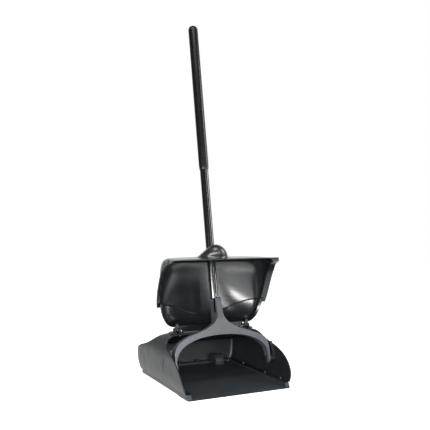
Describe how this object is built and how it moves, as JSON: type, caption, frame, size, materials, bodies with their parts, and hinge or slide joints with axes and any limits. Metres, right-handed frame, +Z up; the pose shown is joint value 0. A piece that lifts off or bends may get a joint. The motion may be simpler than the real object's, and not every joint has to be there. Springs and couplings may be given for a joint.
{
  "type": "lobby dustpan",
  "caption": "Upright lobby dustpan: open moulded pan on rear wheels, long handle on a forked yoke, and a hinged hood that closes the mouth as the handle tips.",
  "frame": {"origin": "floor level under the middle of the pan", "axes": "+Z up, +Y to the rear of the pan, +X to the right seen from the front"},
  "size_m": [0.3206, 0.3259, 0.9562],
  "materials": {
    "shell_plastic": "moulded satin",
    "tray_plastic": "moulded satin",
    "hood_plastic": "moulded satin",
    "dome_plastic": "moulded gloss",
    "yoke_plastic": "moulded satin",
    "coated_tube": "glossy vinyl coat on steel",
    "grip_vinyl": "soft satin vinyl",
    "wheel_plastic": "moulded",
    "bush_plastic": "moulded",
    "plated_steel": "zinc plated"
  },
  "bodies": {
    "pan": {"pan_shell": "shell_plastic", "floor_tray": "tray_plastic", "tray_screws": "plated_steel", "hinge_block_left": "shell_plastic", "hinge_block_right": "shell_plastic", "hinge_block_screws": "plated_steel", "pivot_bush_left": "bush_plastic", "pivot_bush_right": "bush_plastic", "axle_left": "plated_steel", "axle_right": "plated_steel"},
    "wheel_left": {"wheel_left": "wheel_plastic"},
    "wheel_right": {"wheel_right": "wheel_plastic"},
    "handle": {"yoke": "yoke_plastic", "handle_tube": "coated_tube", "grip_sleeve": "grip_vinyl", "end_cap": "grip_vinyl", "yoke_screw": "plated_steel", "yoke_nut": "plated_steel", "pivot_pin_left": "plated_steel", "pivot_pin_right": "plated_steel", "pivot_washers": "plated_steel"},
    "cover": {"cover_hood": "hood_plastic", "cover_skirt": "hood_plastic", "collar_dome": "dome_plastic", "collar_screws": "plated_steel", "hinge_pin_left": "plated_steel", "hinge_pin_right": "plated_steel"}
  },
  "joints": [
    {"name": "handle_tilt", "type": "hinge", "parent": "pan", "child": "handle", "pos_m": [0, -0.066, 0.056], "axis": [1, 0, 0], "range_deg": [0, 79]},
    {"name": "cover_swing", "type": "hinge", "parent": "pan", "child": "cover", "pos_m": [0, -0.003, 0.136], "axis": [1, 0, 0], "range_deg": [0, 92.83]},
    {"name": "wheel_left_spin", "type": "hinge", "parent": "pan", "child": "wheel_left", "pos_m": [-0.08, 0.133, 0.016], "axis": [1, 0, 0], "continuous": true},
    {"name": "wheel_right_spin", "type": "hinge", "parent": "pan", "child": "wheel_right", "pos_m": [0.08, 0.133, 0.016], "axis": [1, 0, 0], "continuous": true}
  ],
  "couplings": [
    {"joint": "cover_swing", "follows": "handle_tilt", "ratio": 1.175}
  ]
}
